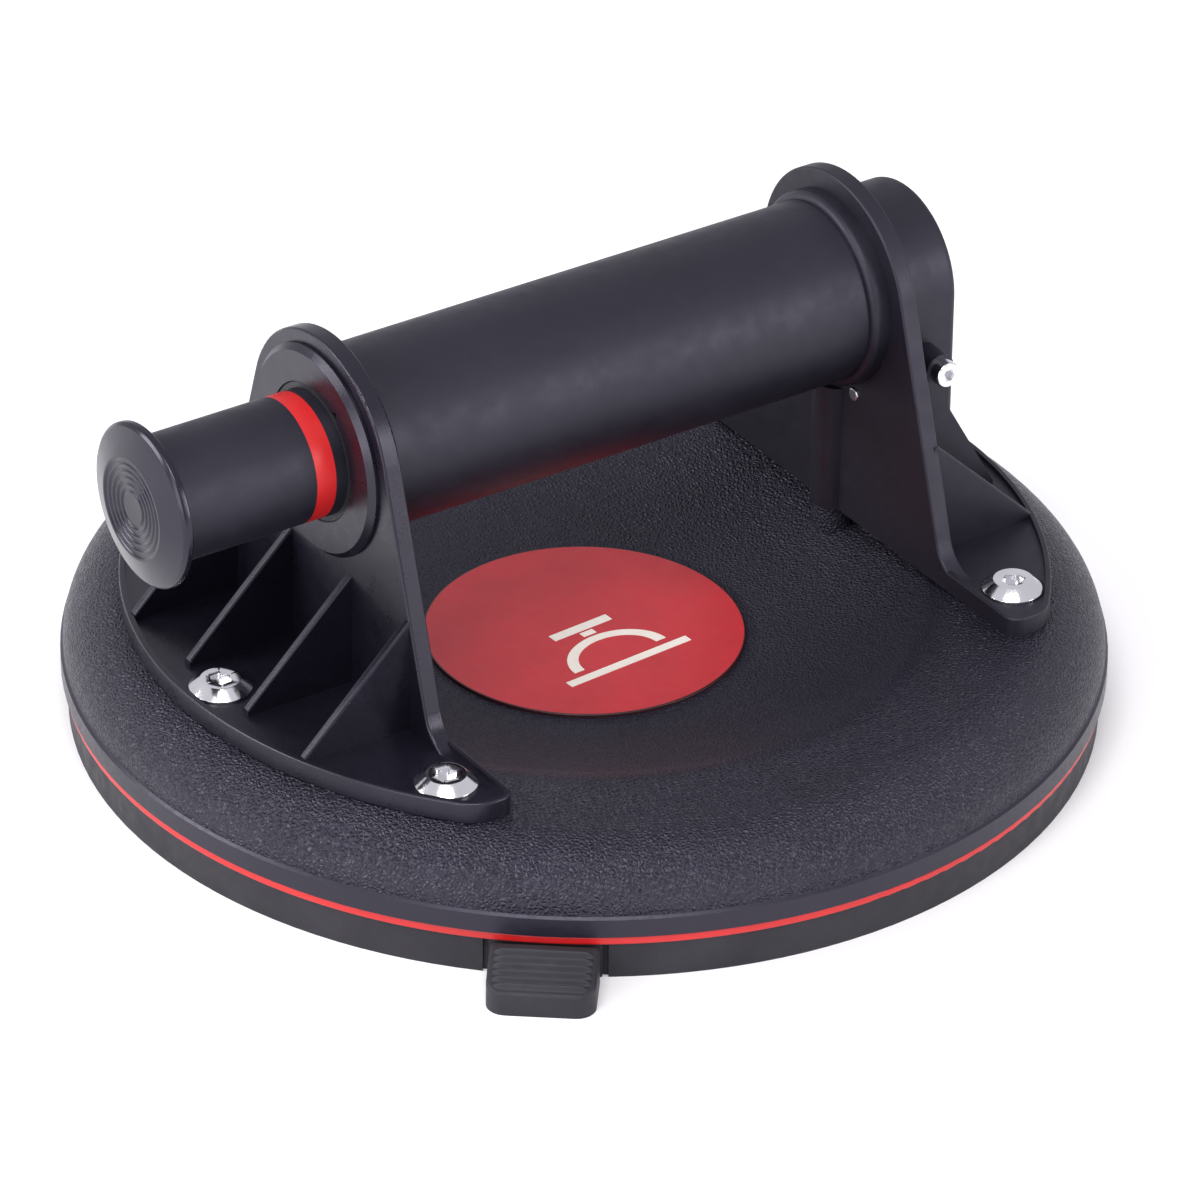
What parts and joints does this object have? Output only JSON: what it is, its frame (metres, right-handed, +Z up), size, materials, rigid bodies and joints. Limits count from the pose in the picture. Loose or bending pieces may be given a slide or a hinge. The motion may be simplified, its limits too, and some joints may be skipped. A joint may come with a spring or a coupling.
{
  "type": "vacuum suction cup",
  "caption": "Hand-held vacuum lifting cup: round rubber pad under a dished body, with a grip handle that holds a push-button vacuum pump.",
  "frame": {"origin": "centre of the suction face, on the plane of the sealing lip", "axes": "+Z up, away from the gripped surface; X along the handle and pump, with the plunger at -X"},
  "size_m": [0.2128, 0.2128, 0.102],
  "materials": {
    "textured_abs": "fine moulded grain",
    "black_abs": "satin moulded",
    "pad_rubber": "moulded rubber",
    "red_trim": "satin red",
    "red_label": "satin printed film",
    "chrome": "bright plated",
    "steel": "bright",
    "brass": "turned",
    "aluminium": "satin",
    "seal_rubber": "smooth",
    "acetal": "machined",
    "felt": "felt"
  },
  "bodies": {
    "base": {"base_shell": "textured_abs", "left_bracket": "black_abs", "right_bracket": "black_abs", "handle_tube": "black_abs", "handle_collar": "black_abs", "end_cap": "black_abs", "suction_pad": "pad_rubber", "trim_ring": "red_trim", "label_plate": "red_label", "bracket_screws": "chrome", "pump_lock_screw": "chrome", "plate_screws": "steel", "locating_pin": "steel", "return_spring": "steel", "check_spring": "steel", "threaded_inserts": "brass", "backing_plate": "aluminium", "pump_cylinder": "aluminium", "cylinder_oring": "seal_rubber", "head_orings": "seal_rubber", "nipple_orings": "seal_rubber", "wiper_ring": "seal_rubber", "valve_body": "acetal", "valve_retainer": "acetal", "vacuum_nipple": "acetal", "inlet_filter": "felt"},
    "plunger": {"plunger_tube": "black_abs", "plunger_button": "black_abs", "indicator_ring": "red_trim", "piston": "acetal", "piston_seal": "seal_rubber"},
    "tab": {"release_tab": "pad_rubber"},
    "check_valve": {"check_poppet": "seal_rubber"}
  },
  "joints": [
    {"name": "plunger_slide", "type": "slide", "parent": "base", "child": "plunger", "axis": [1, 0, 0], "range_m": [0, 0.03], "stiffness_N_per_m": 300, "springref_m": -0.02, "deforming": ["return_spring"]},
    {"name": "tab_lift", "type": "hinge", "parent": "base", "child": "tab", "pos_m": [-0.06504, -0.08446, 0.0086], "axis": [-0.7923, 0.6101, 0], "range_deg": [0, 25], "stiffness_Nm_per_rad": 0.2},
    {"name": "check_valve_lift", "type": "slide", "parent": "base", "child": "check_valve", "axis": [-1, 0, 0], "range_m": [0, 0.0012], "stiffness_N_per_m": 60, "springref_m": -0.002, "deforming": ["check_spring"]}
  ]
}
